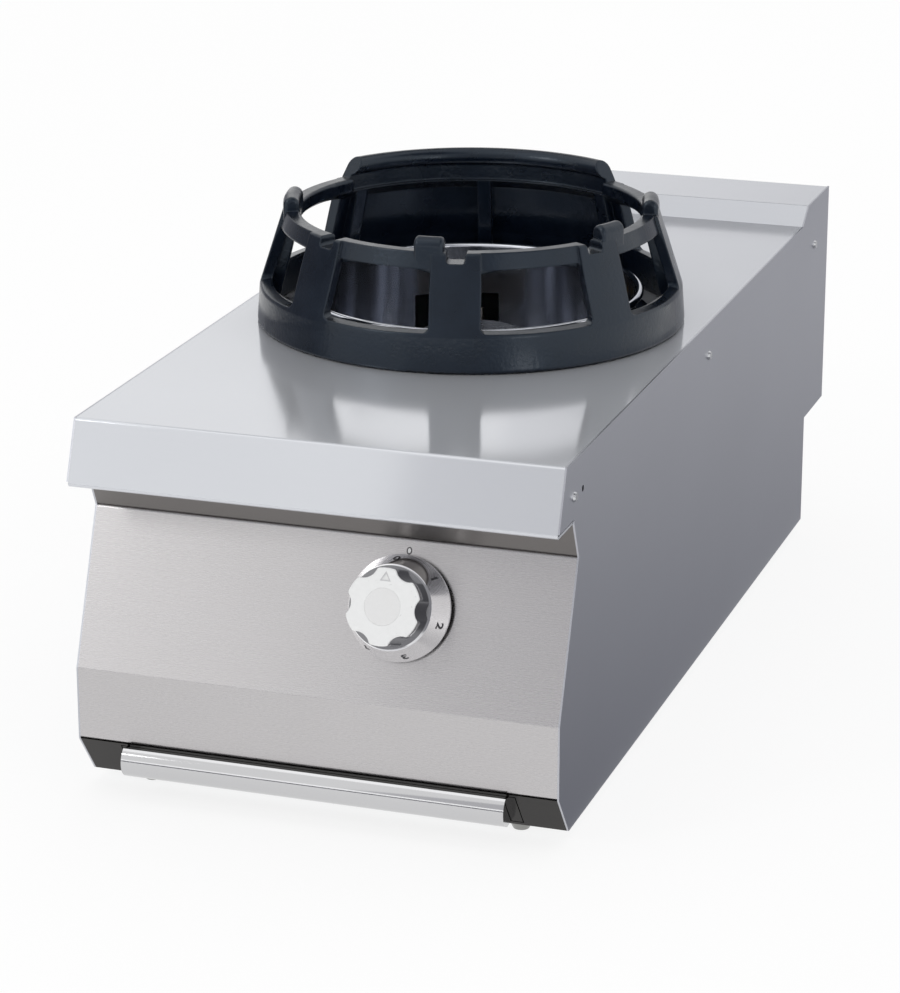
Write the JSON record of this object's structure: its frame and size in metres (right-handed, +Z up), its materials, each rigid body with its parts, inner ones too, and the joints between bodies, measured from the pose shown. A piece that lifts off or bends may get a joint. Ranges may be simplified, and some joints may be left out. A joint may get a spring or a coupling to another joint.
{
  "type": "gas wok range",
  "caption": "Counter-top gas wok range: open cast-iron wok ring over a deep burner well, sloping control panel with a gas knob, and a pull-out drip tray in a steel cabinet.",
  "frame": {"origin": "on the floor, under the middle of the whole range (width over the sides, depth from the knob's front to the back of the upstand)", "axes": "+X to the right of someone facing the front, +Y to the back, +Z up"},
  "size_m": [0.4036, 0.92, 0.4223],
  "materials": {
    "worktop_steel": "fine satin, fairly glossy",
    "side_steel": "satin, vertical grain",
    "front_steel": "satin, grain along the width",
    "handle_steel": "bright satin",
    "crossbar_steel": "dull satin",
    "well_steel": "polished",
    "tray_steel": "pressed, dull",
    "zinc_steel": "zinc plated",
    "zinc_screw": "bright zinc",
    "pipe_steel": "drawn tube",
    "probe_steel": "heat tinted",
    "ring_enamel": "black vitreous enamel, semi-gloss",
    "raw_iron": "as cast",
    "brass": "turned",
    "copper": "bare copper tube",
    "knob_chrome": "bright",
    "knob_silver": "pearl",
    "knob_disc_silver": "spun"
  },
  "bodies": {
    "cabinet": {"side_panel_left": "side_steel", "side_panel_right": "side_steel", "worktop": "worktop_steel", "rear_upstand": "worktop_steel", "top_rail_left": "zinc_steel", "top_rail_right": "zinc_steel", "front_crossbar": "crossbar_steel", "control_panel": "front_steel", "kick_panel": "front_steel", "bottom_panel": "zinc_steel", "back_panel": "zinc_steel", "burner_well": "well_steel", "burner_bridge": "zinc_steel", "burner_body": "raw_iron", "burner_bolts": "zinc_screw", "mixing_tube": "raw_iron", "injector_bracket": "zinc_steel", "injector": "brass", "injector_holder": "brass", "spindle_bush": "brass", "valve_bracket": "zinc_steel", "valve_body": "brass", "magnet_head": "brass", "supply_pipe": "pipe_steel", "gas_inlet": "brass", "pipe_clamp": "zinc_steel", "feed_pipe": "copper", "pilot_bracket": "zinc_steel", "pilot_burner": "brass", "thermocouple": "probe_steel", "pilot_pipe": "copper", "thermocouple_lead": "copper", "tray_runner_left": "zinc_steel", "tray_runner_right": "zinc_steel", "foot_front_left": "zinc_screw", "foot_rear_left": "zinc_screw", "foot_front_right": "zinc_screw", "foot_rear_right": "zinc_screw", "foot_nuts": "zinc_screw", "side_screws": "zinc_screw"},
    "ring": {"wok_ring": "ring_enamel"},
    "burner_crown": {"burner_crown": "raw_iron"},
    "burner_cap": {"burner_cap": "ring_enamel"},
    "plug": {"valve_plug": "brass"},
    "knob": {"valve_spindle": "pipe_steel", "knob_skirt": "knob_chrome", "knob_grip": "knob_chrome", "knob_face": "knob_silver", "knob_disc": "knob_disc_silver"},
    "tray": {"drip_tray": "tray_steel", "tray_front": "front_steel", "tray_handle": "handle_steel"}
  },
  "joints": [
    {"name": "ring_lift", "type": "slide", "parent": "cabinet", "child": "ring", "axis": [0, 0, 1], "range_m": [0, 0.12]},
    {"name": "crown_lift", "type": "slide", "parent": "cabinet", "child": "burner_crown", "axis": [0, 0, 1], "range_m": [0, 0.06]},
    {"name": "cap_lift", "type": "slide", "parent": "burner_crown", "child": "burner_cap", "axis": [0, 0, 1], "range_m": [0, 0.05]},
    {"name": "gas_valve_turn", "type": "hinge", "parent": "cabinet", "child": "plug", "pos_m": [0.064, -0.40476, 0.17756], "axis": [0, -0.9345, 0.3559], "range_deg": [0, 220]},
    {"name": "knob_push", "type": "slide", "parent": "plug", "child": "knob", "axis": [0, 0.9345, -0.3559], "range_m": [0, 0.004], "stiffness_N_per_m": 1000, "springref_m": -0.003},
    {"name": "tray_slide", "type": "slide", "parent": "cabinet", "child": "tray", "axis": [0, -1, 0], "range_m": [0, 0.42]}
  ]
}
